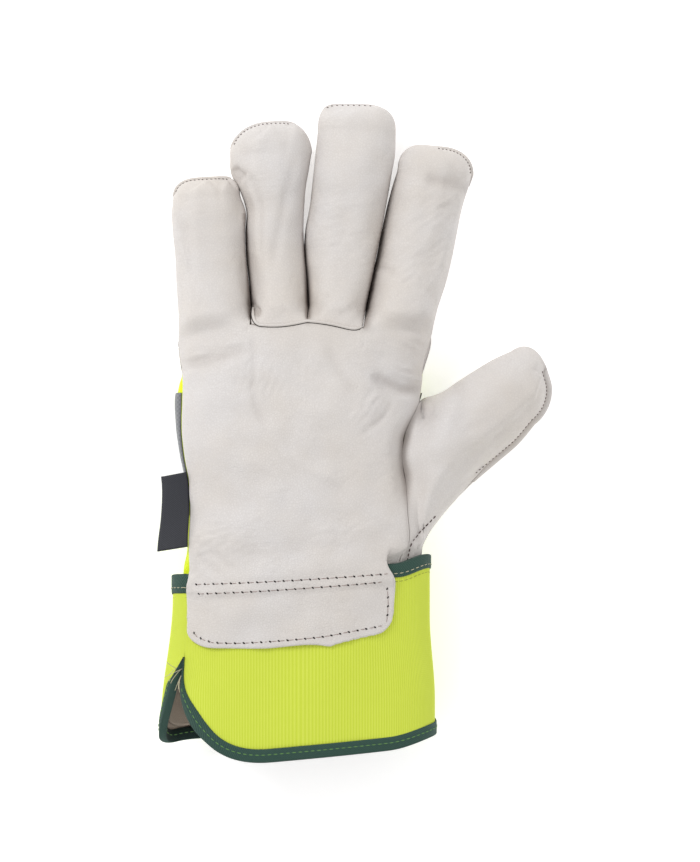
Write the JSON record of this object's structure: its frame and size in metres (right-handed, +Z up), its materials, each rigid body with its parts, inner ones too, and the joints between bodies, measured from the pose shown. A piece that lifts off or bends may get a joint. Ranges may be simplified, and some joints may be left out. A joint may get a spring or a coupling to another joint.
{
  "type": "work glove",
  "caption": "Right-hand insulated leather work glove with a hi-vis cloth back, reflective band and split safety cuff.",
  "frame": {"origin": "on the flat underside of the reflective band, in the middle of the back of the hand, where the lying glove rests", "axes": "+Y towards the fingertips, +X towards the thumb, +Z up out of the palm; the glove lies on its back, palm up"},
  "size_m": [0.161, 0.2675, 0.0517],
  "materials": {
    "leather": "pale grey-white grain leather, soft matte with a faint sheen",
    "hivis_cloth": "fluorescent yellow woven cloth, matte",
    "reflective_tape": "grey retroreflective tape, satin",
    "cuff_cloth": "fluorescent yellow finely ribbed cloth, matte",
    "cuff_canvas": "grey-brown canvas lining, matte",
    "binding_tape": "dark green woven binding, matte",
    "label_weave": "black woven label, bare, faint sheen"
  },
  "bodies": {
    "root": {"palm_leather": "leather", "ring_finger_front": "leather", "middle_finger_front": "leather", "little_finger_back": "leather", "ring_finger_back": "leather", "middle_finger_back": "leather", "index_finger_back": "leather", "thumb_front": "leather", "thumb_back": "leather", "knuckle_strap": "leather", "back_cloth": "hivis_cloth", "reflective_band": "reflective_tape", "cuff": "cuff_cloth", "cuff_lining": "cuff_canvas", "hem_binding": "binding_tape", "top_binding": "binding_tape", "root_welt": "leather", "side_label": "label_weave"}
  },
  "joints": []
}
